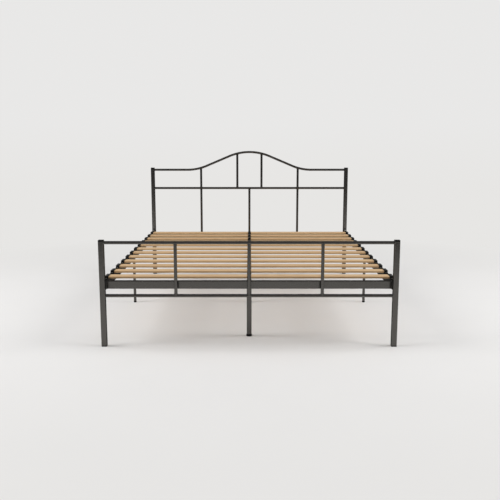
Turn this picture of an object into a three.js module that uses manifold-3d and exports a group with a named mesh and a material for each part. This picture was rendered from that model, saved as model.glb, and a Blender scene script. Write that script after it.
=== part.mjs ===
// A double bed frame in powder-coated steel tube: a headboard with an arched top rail, a lower
// straight footboard, and a welded base frame that bolts between them and carries wooden slats.
//
// Millimetres, +Z up. The origin is on the floor, in the middle of the frame. X runs across the
// bed, with "left" at -X. Y runs along it, with the footboard at -Y and the headboard at +Y.

import * as THREE from 'three';
import { mergeVertices } from 'three/addons/utils/BufferGeometryUtils.js';
import Module from 'manifold-3d';

const wasm = await Module();
wasm.setup();

// Overall layout.
const POST_SPACING_X = 1620; // between the post centre lines, across the bed
const POST_SPACING_Y = 2070; // between the centre planes of the two end boards
const FOOTBOARD_HEIGHT = 601; // floor to the top of the post caps
const HEADBOARD_HEIGHT = 904;
const GAP = 0.3; // clearance between neighbouring pieces

// Posts: square tube with rounded corners, closed by a plastic cap above and a foot below.
const POST_SIZE = 30;
const POST_CORNER = 4;
const POST_WALL = 1.5;
const CAP_THICKNESS = 8;
const FOOT_THICKNESS = 5;
const PLUG_DEPTH = 14;
const PLUG_EDGE = 1.2;

// Rails and spindles of the end boards: round tube.
const TUBE_RADIUS = 9;
const TUBE_WALL = 1.2;
const FOOTBOARD_RAIL_Z = 586; // centre lines of the rails
const HEADBOARD_RAIL_Z = 886; // straight ends of the arched rail
const MIDDLE_RAIL_Z = 733;
const LOWER_RAIL_Z = 289;
const SPINDLE_PITCH = POST_SPACING_X / 4;
const INNER_SPINDLE_X = SPINDLE_PITCH / 4;

// Arch of the headboard: a straight slope between a concave bend at its foot and a crown.
const ARCH_RISE = 147;
const ARCH_SLOPE = THREE.MathUtils.degToRad(22.9);
const ARCH_CROWN_RADIUS = 432;
const ARCH_FOOT_RADIUS = 406;
const ARCH_STEPS = 44;
const ARCH_LENGTH_DIVISIONS = 1200; // samples that measure the rail's length along the curve

// Base frame: rectangular tube.
const RAIL_WIDTH = 25;
const RAIL_HEIGHT = 45;
const RAIL_CORNER = 3;
const RAIL_WALL = 1.5;
const RAIL_TOP = 364;
const END_RAIL_SETBACK = 22; // post face to the face of the end rail

// Flange plates on the side rails, and the bolts that hold them to the posts.
const FLANGE_WIDTH = 26;
const FLANGE_THICKNESS = 4;
const FLANGE_EAR = 24; // how far the plate stands above and below the rail
const FLANGE_WINDOW_RADIUS = 7;
const BOLT_RADIUS = 4;
const BOLT_LENGTH = 20;
const BOLT_HEAD_RADIUS = 7;
const BOLT_HEAD_HEIGHT = 4.4;
const BOLT_RIM_HEIGHT = 1.8; // straight side of the head, below its rounded part
const BOLT_SHOULDER_RADIUS = 5.95; // the rounded part is a shoulder at this radius and height
const BOLT_SHOULDER_HEIGHT = 3.36;
const BOLT_TOP_RADIUS = 4.2; // flat top of the head, round the socket
const BOLT_TIP_CHAMFER = 1;
const BOLT_SOCKET_RADIUS = 2.9;
const BOLT_SOCKET_DEPTH = 2.5;

// Legs under the base frame.
const SIDE_LEG_RADIUS = 9;
const SIDE_LEG_WALL = 1.2;
const CENTRE_LEG_RADIUS = 14;
const CENTRE_LEG_WALL = 1.5;
const CENTRE_LEG_INSET = 200; // end board centre plane to the first and last centre leg
const FERRULE_RADIUS = 17.5; // at its base, from where it narrows to its mouth
const FERRULE_BASE_HEIGHT = 4;
const FERRULE_MOUTH_RADIUS = 15.5;
const FERRULE_HEIGHT = 13;
const FERRULE_FLOOR = 4;
const FERRULE_EDGE = 1; // chamfer round the lower edge

// Slats: laminated wood, flat, lying across both side rails and the centre beam.
const SLAT_COUNT = 12;
const SLAT_WIDTH = 64;
const SLAT_THICKNESS = 12;
const SLAT_CORNER = 3;
const SLAT_LENGTH = 1624;
const SLAT_END_MARGIN = 40; // end rail to the edge of the first slat

const ROUND_SIDES = 24;
const BORE_SIDES = 12; // inner walls of round tubes
const HOLE_SIDES = 12; // bolts and the holes for them
const HEXAGON_SIDES = 6;
const CORNER_SEGMENTS = 4;

// Values that follow from the dimensions above.
const postX = POST_SPACING_X / 2;
const boardY = POST_SPACING_Y / 2;
const postHalf = POST_SIZE / 2;
const railZ = RAIL_TOP - RAIL_HEIGHT / 2;
const railBottom = RAIL_TOP - RAIL_HEIGHT;
const sideRailX = postX - postHalf + RAIL_WIDTH / 2;
const flangeY = boardY - postHalf - GAP - FLANGE_THICKNESS / 2;
const boltOffsetZ = RAIL_HEIGHT / 2 + FLANGE_EAR / 2;
const boltHole = BOLT_RADIUS + GAP;
const endRailY = boardY - postHalf - END_RAIL_SETBACK - RAIL_WIDTH / 2;

const paint = new THREE.MeshStandardMaterial({
  name: 'graphite_paint',
  color: 0x4a4744,
  roughness: 0.55,
  metalness: 0.3,
});
const plastic = new THREE.MeshStandardMaterial({
  name: 'black_plastic',
  color: 0x14120f,
  roughness: 0.6,
  metalness: 0,
});
const zinc = new THREE.MeshStandardMaterial({
  name: 'zinc_plate',
  color: 0xa8abad,
  roughness: 0.35,
  metalness: 1,
});
const wood = new THREE.MeshStandardMaterial({
  name: 'birch_wood',
  color: 0xcfae80,
  roughness: 0.6,
  metalness: 0,
});

// ---- Outlines ----

function circlePoints(radius, sides = ROUND_SIDES) {
  return Array.from({ length: sides }, (_, i) => {
    const angle = (2 * Math.PI * i) / sides;
    return new THREE.Vector2(radius * Math.cos(angle), radius * Math.sin(angle));
  });
}

function roundedRectPoints(width, height, corner) {
  const points = [];
  const centreX = width / 2 - corner;
  const centreY = height / 2 - corner;
  const signs = [[1, 1], [-1, 1], [-1, -1], [1, -1]];
  signs.forEach(([signX, signY], quarter) => {
    for (let i = 0; i <= CORNER_SEGMENTS; i += 1) {
      const angle = (Math.PI / 2) * (quarter + i / CORNER_SEGMENTS);
      points.push(new THREE.Vector2(
        signX * centreX + corner * Math.cos(angle),
        signY * centreY + corner * Math.sin(angle),
      ));
    }
  });
  return points;
}

function outline(points, holePoints) {
  const shape = new THREE.Shape(points);
  if (holePoints) shape.holes.push(new THREE.Path(holePoints));
  return shape;
}

function roundTubeOutline(radius, wall) {
  return outline(circlePoints(radius), circlePoints(radius - wall, BORE_SIDES));
}

function boxTubeOutline(width, height, corner, wall) {
  return outline(
    roundedRectPoints(width, height, corner),
    roundedRectPoints(width - 2 * wall, height - 2 * wall, corner - wall),
  );
}

// ---- Solids ----

// A straight bar of the given outline along Z, from z = 0.
function bar(shape, length) {
  return new THREE.ExtrudeGeometry(shape, { depth: length, bevelEnabled: false });
}

function toSolid(geometry) {
  geometry.deleteAttribute('normal');
  geometry.deleteAttribute('uv');
  const merged = mergeVertices(geometry);
  return new wasm.Manifold(new wasm.Mesh({
    numProp: 3,
    vertProperties: merged.attributes.position.array,
    triVerts: new Uint32Array(merged.index.array),
  }));
}

function toGeometry(solid) {
  const { vertProperties, triVerts } = solid.getMesh();
  const geometry = new THREE.BufferGeometry();
  geometry.setAttribute('position', new THREE.BufferAttribute(vertProperties, 3));
  geometry.setIndex(new THREE.BufferAttribute(triVerts, 1));
  return geometry;
}

function addMesh(group, name, geometry, material, x, y, z) {
  const mesh = new THREE.Mesh(geometry, material);
  mesh.name = name;
  mesh.position.set(x, y, z);
  group.add(mesh);
  return mesh;
}

// Lays a bar that was made along Z, centred on its middle, along X or Y.
function layAlongX(mesh) {
  mesh.rotation.y = Math.PI / 2;
}

function layAlongY(mesh) {
  mesh.rotation.x = -Math.PI / 2;
}

// ---- End boards: posts, caps, feet, rails and spindles ----

// A post tube with two bolt holes in the wall that faces the middle of the bed. Its origin is
// at the lower end of the tube, and inward is the direction of that wall along Y.
function postGeometry(height, inward) {
  const tube = boxTubeOutline(POST_SIZE, POST_SIZE, POST_CORNER, POST_WALL);
  const length = height - CAP_THICKNESS - FOOT_THICKNESS - 2 * GAP;
  let solid = toSolid(bar(tube, length));
  const tubeStart = FOOT_THICKNESS + GAP;
  for (const side of [-1, 1]) {
    const drill = bar(outline(circlePoints(boltHole, HOLE_SIDES)), POST_SIZE);
    drill.rotateX(-Math.PI / 2 * inward);
    drill.translate(0, 0, railZ + side * boltOffsetZ - tubeStart);
    solid = solid.subtract(toSolid(drill));
  }
  return toGeometry(solid);
}

// A square plug for the end of a post: a plate the size of the post, with rounded edges on its
// outer face, and a peg that goes into the tube. The peg points along -Z, from z = 0.
function plugGeometry(plateThickness) {
  const plateOutline = roundedRectPoints(
    POST_SIZE - 2 * PLUG_EDGE,
    POST_SIZE - 2 * PLUG_EDGE,
    POST_CORNER - PLUG_EDGE,
  );
  const plate = new THREE.ExtrudeGeometry(outline(plateOutline), {
    depth: plateThickness - 2 * PLUG_EDGE,
    bevelEnabled: true,
    bevelThickness: PLUG_EDGE,
    bevelSize: PLUG_EDGE,
    bevelSegments: 2,
  });
  plate.translate(0, 0, PLUG_EDGE);
  const pegSize = POST_SIZE - 2 * POST_WALL - 2 * GAP;
  const overlap = plateThickness / 2;
  const peg = bar(
    outline(roundedRectPoints(pegSize, pegSize, POST_CORNER - POST_WALL)),
    PLUG_DEPTH + overlap,
  );
  peg.translate(0, 0, -PLUG_DEPTH);
  return toGeometry(toSolid(plate).add(toSolid(peg)));
}

function addPost(board, prefix, sideName, side, height, inward) {
  const x = side * postX;
  addMesh(board, `${prefix}_post_${sideName}`, postGeometry(height, inward), paint,
    x, 0, FOOT_THICKNESS + GAP);
  addMesh(board, `${prefix}_post_cap_${sideName}`, plugGeometry(CAP_THICKNESS), plastic,
    x, 0, height - CAP_THICKNESS);
  const foot = addMesh(board, `${prefix}_post_foot_${sideName}`, plugGeometry(FOOT_THICKNESS),
    plastic, x, 0, FOOT_THICKNESS);
  foot.rotation.x = Math.PI;
}

// A straight rail between the inner faces of the two posts.
const railSpan = POST_SPACING_X - POST_SIZE - 2 * GAP;

function addStraightRail(board, name, z) {
  const geometry = bar(roundTubeOutline(TUBE_RADIUS, TUBE_WALL), railSpan);
  geometry.translate(0, 0, -railSpan / 2);
  layAlongX(addMesh(board, name, geometry, paint, 0, 0, z));
}

// The full-size cut that a straight rail leaves in the end of a spindle.
function straightRailCut(z) {
  const cut = bar(outline(circlePoints(TUBE_RADIUS + GAP)), railSpan);
  cut.translate(0, 0, -railSpan / 2);
  cut.rotateY(Math.PI / 2);
  cut.translate(0, 0, z);
  return toSolid(cut);
}

// Height of the arched rail's centre line above its straight ends, at distance x from the middle.
const crownHalf = ARCH_CROWN_RADIUS * Math.sin(ARCH_SLOPE);
const crownDrop = ARCH_CROWN_RADIUS * (1 - Math.cos(ARCH_SLOPE));
const bendHalf = ARCH_FOOT_RADIUS * Math.sin(ARCH_SLOPE);
const bendRise = ARCH_FOOT_RADIUS * (1 - Math.cos(ARCH_SLOPE));
const slopeRun = (ARCH_RISE - crownDrop - bendRise) / Math.tan(ARCH_SLOPE);
const archHalf = crownHalf + slopeRun + bendHalf;

function archHeight(x) {
  const distance = Math.abs(x);
  if (distance < crownHalf) {
    return ARCH_RISE - ARCH_CROWN_RADIUS + Math.sqrt(ARCH_CROWN_RADIUS ** 2 - distance ** 2);
  }
  if (distance < crownHalf + slopeRun) {
    return ARCH_RISE - crownDrop - (distance - crownHalf) * Math.tan(ARCH_SLOPE);
  }
  if (distance < archHalf) {
    const inBend = archHalf - distance;
    return ARCH_FOOT_RADIUS - Math.sqrt(ARCH_FOOT_RADIUS ** 2 - inBend ** 2);
  }
  return 0;
}

class ArchCurve extends THREE.Curve {
  constructor() {
    super();
    this.arcLengthDivisions = ARCH_LENGTH_DIVISIONS;
  }

  getPoint(t, target = new THREE.Vector3()) {
    const x = (t - 0.5) * railSpan;
    return target.set(x, 0, archHeight(x));
  }
}

function archGeometry(shape) {
  return new THREE.ExtrudeGeometry(shape, { steps: ARCH_STEPS, extrudePath: new ArchCurve() });
}

// A vertical spindle whose ends are coped to fit round the rails above and below it.
function addSpindle(board, name, x, lowZ, highZ, cuts) {
  const tube = bar(roundTubeOutline(TUBE_RADIUS, TUBE_WALL), highZ - lowZ);
  tube.translate(x, 0, lowZ);
  let solid = toSolid(tube);
  for (const cut of cuts) solid = solid.subtract(cut);
  const geometry = toGeometry(solid.translate(-x, 0, -lowZ));
  addMesh(board, name, geometry, paint, x, 0, lowZ);
}

function makeHeadboard() {
  const board = new THREE.Group();
  board.position.y = boardY;
  addPost(board, 'headboard', 'left', -1, HEADBOARD_HEIGHT, -1);
  addPost(board, 'headboard', 'right', 1, HEADBOARD_HEIGHT, -1);

  const archRail = archGeometry(roundTubeOutline(TUBE_RADIUS, TUBE_WALL));
  addMesh(board, 'headboard_arched_rail', archRail, paint, 0, 0, HEADBOARD_RAIL_Z);
  addStraightRail(board, 'headboard_middle_rail', MIDDLE_RAIL_Z);
  addStraightRail(board, 'headboard_lower_rail', LOWER_RAIL_Z);

  const archCutGeometry = archGeometry(outline(circlePoints(TUBE_RADIUS + GAP)));
  archCutGeometry.translate(0, 0, HEADBOARD_RAIL_Z);
  const archCut = toSolid(archCutGeometry);
  const middleCut = straightRailCut(MIDDLE_RAIL_Z);
  const lowerCut = straightRailCut(LOWER_RAIL_Z);

  const upperX = [-SPINDLE_PITCH, -INNER_SPINDLE_X, INNER_SPINDLE_X, SPINDLE_PITCH];
  upperX.forEach((x, i) => {
    addSpindle(board, `headboard_upper_spindle_${i + 1}`, x, MIDDLE_RAIL_Z,
      HEADBOARD_RAIL_Z + archHeight(x), [middleCut, archCut]);
  });
  const lowerX = [-SPINDLE_PITCH, 0, SPINDLE_PITCH];
  lowerX.forEach((x, i) => {
    addSpindle(board, `headboard_lower_spindle_${i + 1}`, x, LOWER_RAIL_Z, MIDDLE_RAIL_Z,
      [lowerCut, middleCut]);
  });
  return board;
}

function makeFootboard() {
  const board = new THREE.Group();
  board.position.y = -boardY;
  addPost(board, 'footboard', 'left', -1, FOOTBOARD_HEIGHT, 1);
  addPost(board, 'footboard', 'right', 1, FOOTBOARD_HEIGHT, 1);

  addStraightRail(board, 'footboard_top_rail', FOOTBOARD_RAIL_Z);
  addStraightRail(board, 'footboard_lower_rail', LOWER_RAIL_Z);
  const cuts = [straightRailCut(FOOTBOARD_RAIL_Z), straightRailCut(LOWER_RAIL_Z)];
  [-SPINDLE_PITCH, 0, SPINDLE_PITCH].forEach((x, i) => {
    addSpindle(board, `footboard_spindle_${i + 1}`, x, LOWER_RAIL_Z, FOOTBOARD_RAIL_Z, cuts);
  });
  return board;
}

// ---- Base frame ----

// A side rail of rectangular tube along Z, centred, with a flange plate welded on each end. The
// plates are offset along X, because the posts are wider than the rail.
function sideRailGeometry() {
  const plateOffset = postX - sideRailX;
  const tubeLength = 2 * flangeY;
  const tube = bar(boxTubeOutline(RAIL_WIDTH, RAIL_HEIGHT, RAIL_CORNER, RAIL_WALL), tubeLength);
  tube.translate(0, 0, -tubeLength / 2);
  let solid = toSolid(tube);
  const plateHeight = RAIL_HEIGHT + 2 * FLANGE_EAR;
  for (const end of [-1, 1]) {
    const plateOutline = outline(
      roundedRectPoints(FLANGE_WIDTH, plateHeight, RAIL_CORNER),
      circlePoints(FLANGE_WINDOW_RADIUS, HOLE_SIDES),
    );
    for (const side of [-1, 1]) {
      const hole = circlePoints(boltHole, HOLE_SIDES);
      hole.forEach((point) => point.add(new THREE.Vector2(0, side * boltOffsetZ)));
      plateOutline.holes.push(new THREE.Path(hole));
    }
    const plate = bar(plateOutline, FLANGE_THICKNESS);
    plate.translate(plateOffset, 0, end * flangeY - FLANGE_THICKNESS / 2);
    solid = solid.add(toSolid(plate));
  }
  return toGeometry(solid);
}

function addSideRails(base) {
  const right = addMesh(base, 'side_rail_right', sideRailGeometry(), paint,
    sideRailX, 0, railZ);
  layAlongY(right);
  const left = addMesh(base, 'side_rail_left', sideRailGeometry(), paint,
    -sideRailX, 0, railZ);
  left.rotation.set(-Math.PI / 2, 0, Math.PI);
}

function addEndRails(base) {
  const length = 2 * (sideRailX - RAIL_WIDTH / 2 - GAP);
  for (const [name, y] of [['end_rail_foot', -endRailY], ['end_rail_head', endRailY]]) {
    const tube = boxTubeOutline(RAIL_HEIGHT, RAIL_WIDTH, RAIL_CORNER, RAIL_WALL);
    const geometry = bar(tube, length);
    geometry.translate(0, 0, -length / 2);
    layAlongX(addMesh(base, name, geometry, paint, 0, y, railZ));
  }
}

function addCentreBeam(base) {
  const length = 2 * (endRailY - RAIL_WIDTH / 2 - GAP);
  const geometry = bar(boxTubeOutline(RAIL_WIDTH, RAIL_HEIGHT, RAIL_CORNER, RAIL_WALL), length);
  geometry.translate(0, 0, -length / 2);
  layAlongY(addMesh(base, 'centre_beam', geometry, paint, 0, 0, railZ));
}

// A round-headed bolt with a hexagon socket. The underside of its head is at z = 0, and the
// shank points along -Z.
function boltGeometry() {
  const profile = [
    [0, -BOLT_LENGTH],
    [BOLT_RADIUS - BOLT_TIP_CHAMFER, -BOLT_LENGTH],
    [BOLT_RADIUS, -BOLT_LENGTH + BOLT_TIP_CHAMFER],
    [BOLT_RADIUS, 0],
    [BOLT_HEAD_RADIUS, 0],
    [BOLT_HEAD_RADIUS, BOLT_RIM_HEIGHT],
    [BOLT_SHOULDER_RADIUS, BOLT_SHOULDER_HEIGHT],
    [BOLT_TOP_RADIUS, BOLT_HEAD_HEIGHT],
    [0, BOLT_HEAD_HEIGHT],
  ];
  const points = profile.map(([radius, height]) => new THREE.Vector2(radius, height));
  const body = new THREE.LatheGeometry(points, HOLE_SIDES);
  body.rotateX(Math.PI / 2);
  const socket = bar(outline(circlePoints(BOLT_SOCKET_RADIUS, HEXAGON_SIDES)), BOLT_HEAD_HEIGHT);
  socket.translate(0, 0, BOLT_HEAD_HEIGHT - BOLT_SOCKET_DEPTH);
  return toGeometry(toSolid(body).subtract(toSolid(socket)));
}

// Two bolts, one above and one below the rail, go through each flange into the post.
function addBolts(base) {
  const headY = flangeY - FLANGE_THICKNESS / 2 - GAP;
  const ends = [['foot', -1], ['head', 1]];
  const sides = [['left', -1], ['right', 1]];
  const levels = [['lower', -1], ['upper', 1]];
  for (const [endName, end] of ends) {
    for (const [sideName, side] of sides) {
      for (const [levelName, level] of levels) {
        const bolt = addMesh(base, `bolt_${endName}_${sideName}_${levelName}`, boltGeometry(),
          zinc, side * postX, end * headY, railZ + level * boltOffsetZ);
        bolt.rotation.x = end * Math.PI / 2;
      }
    }
  }
}

// ---- Legs ----

function addSideLegs(base) {
  const length = railBottom - GAP;
  for (const [sideName, side] of [['left', -1], ['right', 1]]) {
    const tube = bar(roundTubeOutline(SIDE_LEG_RADIUS, SIDE_LEG_WALL), length);
    addMesh(base, `side_leg_${sideName}`, tube, paint, side * postX, 0, 0);
  }
}

// A plastic cup that the lower end of a centre leg stands in, wider at its base.
function ferruleGeometry() {
  const bore = CENTRE_LEG_RADIUS + GAP;
  const profile = [
    [0, 0],
    [FERRULE_RADIUS - FERRULE_EDGE, 0],
    [FERRULE_RADIUS, FERRULE_EDGE],
    [FERRULE_RADIUS, FERRULE_BASE_HEIGHT],
    [FERRULE_MOUTH_RADIUS, FERRULE_HEIGHT],
    [bore, FERRULE_HEIGHT],
    [bore, FERRULE_FLOOR],
    [0, FERRULE_FLOOR],
  ];
  const points = profile.map(([radius, height]) => new THREE.Vector2(radius, height));
  const geometry = new THREE.LatheGeometry(points, ROUND_SIDES);
  geometry.rotateX(Math.PI / 2);
  return geometry;
}

function addCentreLegs(base) {
  const legBottom = FERRULE_FLOOR + GAP;
  const length = railBottom - GAP - legBottom;
  const outerY = boardY - CENTRE_LEG_INSET;
  for (const [name, y] of [['foot', -outerY], ['middle', 0], ['head', outerY]]) {
    const tube = bar(roundTubeOutline(CENTRE_LEG_RADIUS, CENTRE_LEG_WALL), length);
    addMesh(base, `centre_leg_${name}`, tube, paint, 0, y, legBottom);
    addMesh(base, `centre_leg_ferrule_${name}`, ferruleGeometry(), plastic, 0, y, 0);
  }
}

// ---- Slats ----

function addSlats(base) {
  const firstY = -(endRailY - RAIL_WIDTH / 2 - SLAT_END_MARGIN - SLAT_WIDTH / 2);
  const pitch = (-2 * firstY) / (SLAT_COUNT - 1);
  const shape = outline(roundedRectPoints(SLAT_THICKNESS, SLAT_WIDTH, SLAT_CORNER));
  for (let i = 0; i < SLAT_COUNT; i += 1) {
    const geometry = bar(shape, SLAT_LENGTH);
    geometry.translate(0, 0, -SLAT_LENGTH / 2);
    const name = `slat_${String(i + 1).padStart(2, '0')}`;
    layAlongX(addMesh(base, name, geometry, wood,
      0, firstY + i * pitch, RAIL_TOP + GAP + SLAT_THICKNESS / 2));
  }
}

function makeBase() {
  const base = new THREE.Group();
  addSideRails(base);
  addEndRails(base);
  addCentreBeam(base);
  addBolts(base);
  addSideLegs(base);
  addCentreLegs(base);
  addSlats(base);
  return base;
}

const group = new THREE.Group();
group.add(makeHeadboard(), makeFootboard(), makeBase());

export default group;
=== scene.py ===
# The finished look of a double bed frame in powder-coated steel tube, built round its CAD model.
#
# Metres, +Z up, in the CAD model's own frame: the footboard is at -Y and the headboard at +Y.
# Every piece takes its place from the boxes of the CAD nodes.

import math

import bmesh
import bpy
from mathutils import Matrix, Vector, noise


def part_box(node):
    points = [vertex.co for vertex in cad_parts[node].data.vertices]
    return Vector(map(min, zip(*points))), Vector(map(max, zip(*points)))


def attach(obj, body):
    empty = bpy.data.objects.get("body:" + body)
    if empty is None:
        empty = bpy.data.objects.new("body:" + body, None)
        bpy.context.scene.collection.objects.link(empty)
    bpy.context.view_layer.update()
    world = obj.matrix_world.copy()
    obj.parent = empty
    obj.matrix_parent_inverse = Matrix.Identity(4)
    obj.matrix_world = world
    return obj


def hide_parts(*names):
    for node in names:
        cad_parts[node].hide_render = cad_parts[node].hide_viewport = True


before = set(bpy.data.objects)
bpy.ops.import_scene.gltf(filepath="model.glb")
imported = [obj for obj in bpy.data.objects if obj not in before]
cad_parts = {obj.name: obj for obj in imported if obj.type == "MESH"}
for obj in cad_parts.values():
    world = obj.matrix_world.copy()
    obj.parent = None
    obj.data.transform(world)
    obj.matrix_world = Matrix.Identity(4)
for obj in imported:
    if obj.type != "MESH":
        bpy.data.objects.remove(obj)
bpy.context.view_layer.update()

BODY = "root"
GAP = 0.0003  # clearance that the CAD model keeps between neighbouring pieces
RIM = 0.0003  # rounding of a cut tube end
TUBE_SIDES = 48
CORNER_SEGMENTS = 7
CORNER_MARGIN = 0.0015  # flat beside a rounded corner over which its worn edge and painted highlight fade out
END_MARGIN = 0.004  # length beside a tube's end over which its worn edge and painted highlight fade out
SHARP_ANGLE = math.radians(38)
EDGE_WEAR_AND_HIGHLIGHT_START = 150  # outward curvature, in radians per metre, at which an edge starts to be worn and painted lighter as a highlight
EDGE_WEAR_AND_HIGHLIGHT_RANGE = 350  # further curvature at which the worn edge and painted highlight are full

# Words that the names of the CAD nodes are made of.
BOARDS = {"footboard": 1, "headboard": -1}  # direction along Y from each to the middle
ENDS = {"foot": -1, "head": 1}  # direction along Y from the middle to each
SIDES = {"left": -1, "right": 1}  # direction along X from the middle to each
LEVELS = ("lower", "upper")
CENTRE_LEGS = ("foot", "middle", "head")

# Sections of the tubes.
TUBE_WALL = 0.0012
POST_WALL = 0.0015
POST_CORNER = 0.004
RAIL_WALL = 0.0015
RAIL_CORNER = 0.003
CENTRE_LEG_WALL = 0.0015

# The arch of the headboard: a straight slope between a concave bend at its foot and a crown.
ARCH_SLOPE = math.radians(22.9)
ARCH_CROWN_RADIUS = 0.432
ARCH_FOOT_RADIUS = 0.406
ARCH_STEPS = 160

# Flange plates on the ends of the side rails, and the bolts through them.
FLANGE_WIDTH = 0.026
FLANGE_THICKNESS = 0.004
FLANGE_WINDOW_RADIUS = 0.007
BOLT_RADIUS = 0.004
BOLT_LENGTH = 0.020  # without the head
BOLT_TIP_CHAMFER = 0.001
BOLT_CROWN_SHARE = 0.62  # height of the rounded part of a head, as a share of its height
BOLT_FLAT_SHARE = 0.55  # radius of the flat on top of a head, as a share of its radius
BOLT_CROWN_STEPS = 8
BOLT_SOCKET_RADIUS = 0.0029
BOLT_SOCKET_DEPTH = 0.0025
HEXAGON_SIDES = 6
HOLE_SIDES = 32  # of the bolt holes in the posts
PLATE_EDGE = 0.0005

# Plastic mouldings.
PLUG_PLATE = {1: 0.008, -1: 0.005}  # plate thickness of the caps above and the feet below
CAP_DOME = 0.0004
DOME_STEPS = 3
DOME_FLAT = 0.0021  # half the width of the flat in the middle of a dome
CAP_EDGE = 0.0010
SLEEVE_HEIGHT = 0.009
SLEEVE_WALL = 0.0012
SLEEVE_FLOOR = 0.0025
CUP_EDGE = 0.003  # rounding of the lower edge
CUP_BASE = 0.0035  # height at which a flared cup starts to narrow
CUP_MOUTH_WALL = 0.0014
CUP_LIP = 0.0004  # rounding of the mouth
CUP_HOLLOW = 0.0006  # depth of the round hollow under a cup
CUP_HOLLOW_FLAT = 0.55  # radius of its flat middle, as a share of the radius of the cup's foot
CUP_HOLLOW_RIM = 0.62  # radius of its rim, as the same share
CUP_AXIS = 0.0005  # radius of the small flats in the middle, above and below
CUP_STEPS = 8

# Slats, and the clips that hold them on the rails and the centre beam.
SLAT_CORNER = 0.003
SLAT_END_EDGE = 0.0012
SLAT_END_STEPS = 3
CLIP_WALL = 0.0024
CLIP_CHAMFER = 0.8 * CLIP_WALL
CLIP_EDGE = 0.0005
CLIP_EAR_WIDTH = 0.013
CLIP_EAR_THICKNESS = 0.003
CLIP_RAIL_MARGIN = 0.002
RIVET_RADIUS = 0.0034
RIVET_HEIGHT = 0.0014
RIVET_SIDES = 20
RIVET_STEPS = 6

# Weld beads.
BEAD_RADIUS = 0.0017
BEAD_SIDES = 8
BEAD_PITCH = 0.0016  # between the points that a bead is swept along
BEAD_FEWEST_POINTS = 8
BEAD_LIFT = 0.25 * BEAD_RADIUS  # how far the middle of a bead stands off the two faces
BEAD_UNEVENNESS = 0.16  # variation of the radius by a noise, as a share of it
BEAD_NOISE_SCALE = 300
BEAD_RIPPLE = 0.06  # variation of the radius by the ripples across a bead, as a share of it
BEAD_RIPPLE_STEP = 1.9  # radians of a ripple's wave from each point to the next
LEG_BEAD_STEPS = 16

# Colours and finishes.
PAINT_DARK = (0.106, 0.101, 0.0945)
PAINT_LIGHT = (0.111, 0.106, 0.099)
PAINT_FLAKE = (0.150, 0.143, 0.134)
# Lighter colour on edges: partly a worn, thinner coat and partly a painted highlight.
PAINT_EDGE_WEAR_AND_HIGHLIGHT = (0.20, 0.192, 0.181)
PAINT_ROUGHNESS = (0.216, 0.226)
PAINT_EDGE_GLOSS = 0.12  # how much a full scuff lowers the roughness
PAINT_METALLIC = 0.9
PAINT_GRAZING = (0.1, 0.1, 0.1, 1)  # gloss at a grazing angle, as a share of a plain metal's
PLASTIC_DARK = (0.0025, 0.0024, 0.0023)
PLASTIC_LIGHT = (0.005, 0.0047, 0.0045)
PLASTIC_RUBBED = (0.025, 0.024, 0.023)
ZINC_BRIGHT = (0.60, 0.61, 0.62)
ZINC_YELLOW = (0.66, 0.62, 0.52)
WOOD_LIGHT = (0.70, 0.50, 0.29)
WOOD_DARK = (0.60, 0.40, 0.21)
WOOD_FIBRE = (0.47, 0.29, 0.14)
WOOD_DEEP = (0.50, 0.31, 0.15)
PLY_DARK = (0.34, 0.19, 0.085)
GROWTH_LINES = 190.0  # radians of the wave of growth lines over the whole range of a noise
PLY_COUNT = 8  # plies in the thickness of a slat

# Studio: a floor disc, a wall that bends up round it, a world for reflections, and lamps.
FLOOR_RADIUS = 4.6
FLOOR_RING = 4.0  # radius of a ring of points inside its edge
FLOOR_PINHOLE = 0.0001  # radius of the hole in its middle
WALL_RADIUS = 16.0
WALL_HEIGHT = 9.0
WALL_BEND = 4.0  # radius of the bend between the floor and the wall
WALL_STEPS = 12
SWEEP_SIDES = 96
SWEEP_MOTTLE = 2.5  # scale of the noise in the floor's tone
SWEEP_ROUGHNESS = 0.75
SWEEP_FADE = (1.4, 3.4)  # distances from the origin over which lamplight gives way to glow
FLOOR_DARK = (0.795, 0.787, 0.775)
FLOOR_LIGHT = (0.805, 0.797, 0.785)
FLOOR_GLOW = (0.799, 0.791, 0.776)
WALL_GLOW = (0.812, 0.807, 0.800)
GLOW_RISE = 1.5  # height at which the glow has changed from the floor's to the wall's
WORLD_FRONT = (0.03, 0.03, 0.03)
WORLD_BACK = (0.30, 0.30, 0.295)
WORLD_TOP = (0.30, 0.30, 0.31)
WORLD_SIDE_FADE = (-0.35, 0.45)  # Y of the directions between which front turns into back
WORLD_TOP_FADE = (0.15, 0.75)  # Z of the directions between which both turn into the top
LAMPS = {"left_lamp": (-5.0, -1.0, 4.2), "right_lamp": (5.0, -1.0, 4.2)}
LAMP_AIM = (0, 0, 0.3)
LAMP_SIZE = 4.0
LAMP_POWER = 243

# Camera.
CAMERA_SIDE = 0.005
CAMERA_BACK = 3.694  # from the footboard's middle plane
CAMERA_HEIGHT = 1.154
CAMERA_PITCH = math.radians(9.36)
CAMERA_LENS = 49.2
CAMERA_SENSOR = 36.0
CAMERA_REACH = 100

# Each axis, with the directions of an outline's u and v across it.
AXES = {
    "x": (Vector((1, 0, 0)), Vector((0, 1, 0)), Vector((0, 0, 1))),
    "y": (Vector((0, 1, 0)), Vector((0, 0, 1)), Vector((1, 0, 0))),
    "z": (Vector((0, 0, 1)), Vector((1, 0, 0)), Vector((0, 1, 0))),
}


# ---- Outlines: functions of one number that give a closed list of (u, v) points ----


def circle(radius, sides=TUBE_SIDES):
    angles = [2 * math.pi * i / sides for i in range(sides)]
    return [(radius * math.cos(angle), radius * math.sin(angle)) for angle in angles]


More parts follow.
